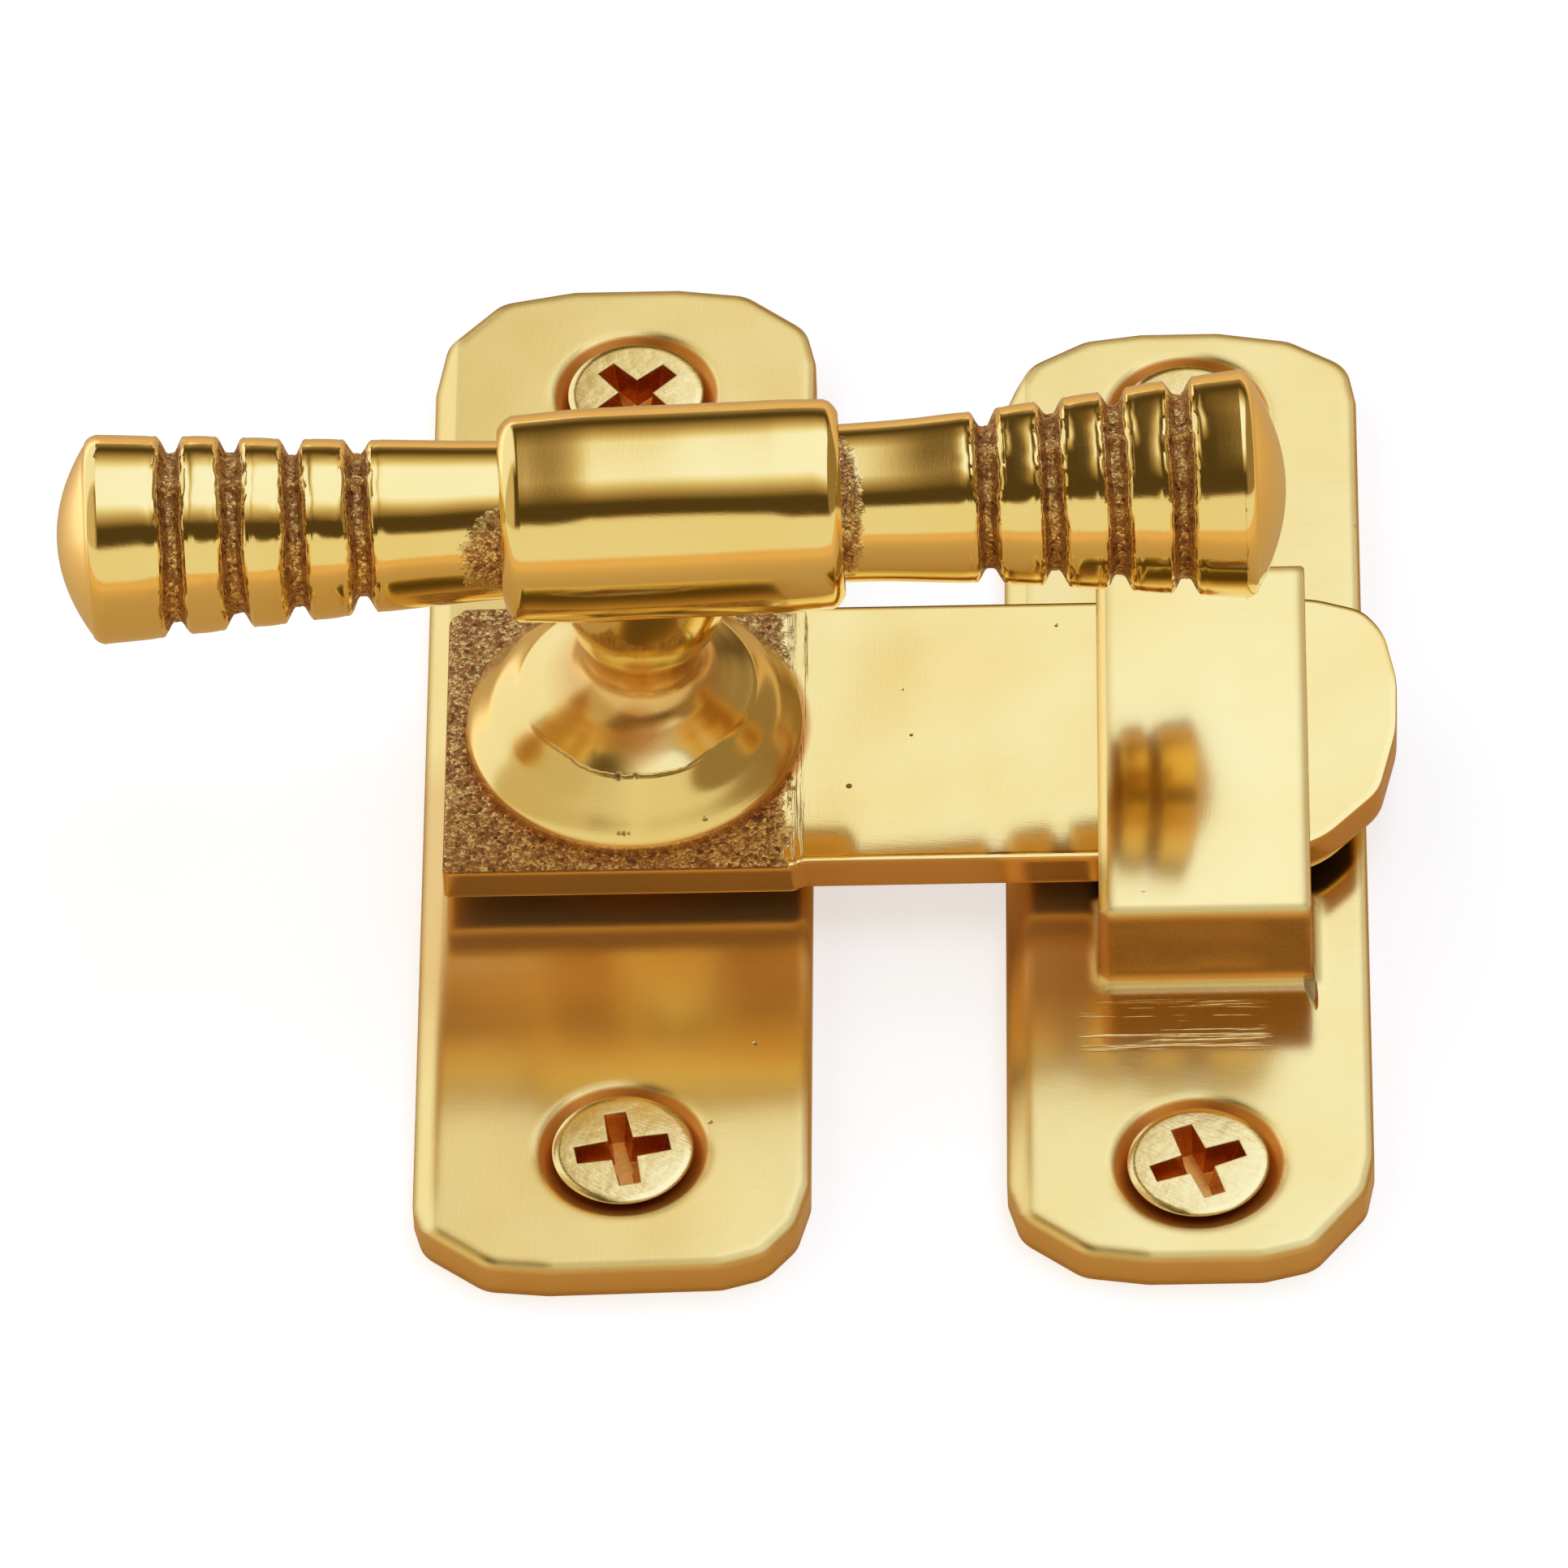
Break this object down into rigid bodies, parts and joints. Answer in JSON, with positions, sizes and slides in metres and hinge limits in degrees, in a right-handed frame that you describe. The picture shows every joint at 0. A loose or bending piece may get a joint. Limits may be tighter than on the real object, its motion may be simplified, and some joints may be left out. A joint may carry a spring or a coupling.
{
  "type": "shutter bar",
  "caption": "T-handle bar that swings on a screwed plate and drops into an open hook on a facing plate, to hold shutters closed.",
  "frame": {"origin": "at the back of the latch plate, midway between its screws; the bar pivots 0.5 mm below it, towards -Y", "axes": "+Z out of the plates' faces, +X from the latch plate to the keeper, +Y to the hook's open end"},
  "size_m": [0.0788, 0.079, 0.0482],
  "materials": {
    "polished_brass": "hand-polished casting",
    "turned_brass": "turned",
    "screw_brass": "satin",
    "spring_steel": "bright"
  },
  "bodies": {
    "plates": {"latch_plate": "polished_brass", "keeper": "polished_brass", "pivot_washer": "turned_brass", "spring_washer": "spring_steel", "latch_screw_top": "screw_brass", "latch_screw_bottom": "screw_brass", "keeper_screw_top": "screw_brass", "keeper_screw_bottom": "screw_brass"},
    "bar": {"shutter_bar": "polished_brass", "pivot_rivet": "turned_brass"}
  },
  "joints": [
    {"name": "bar_swing", "type": "hinge", "parent": "plates", "child": "bar", "pos_m": [0, -0.0005, 0], "axis": [0, 0, 1], "range_deg": [0, 310]}
  ]
}
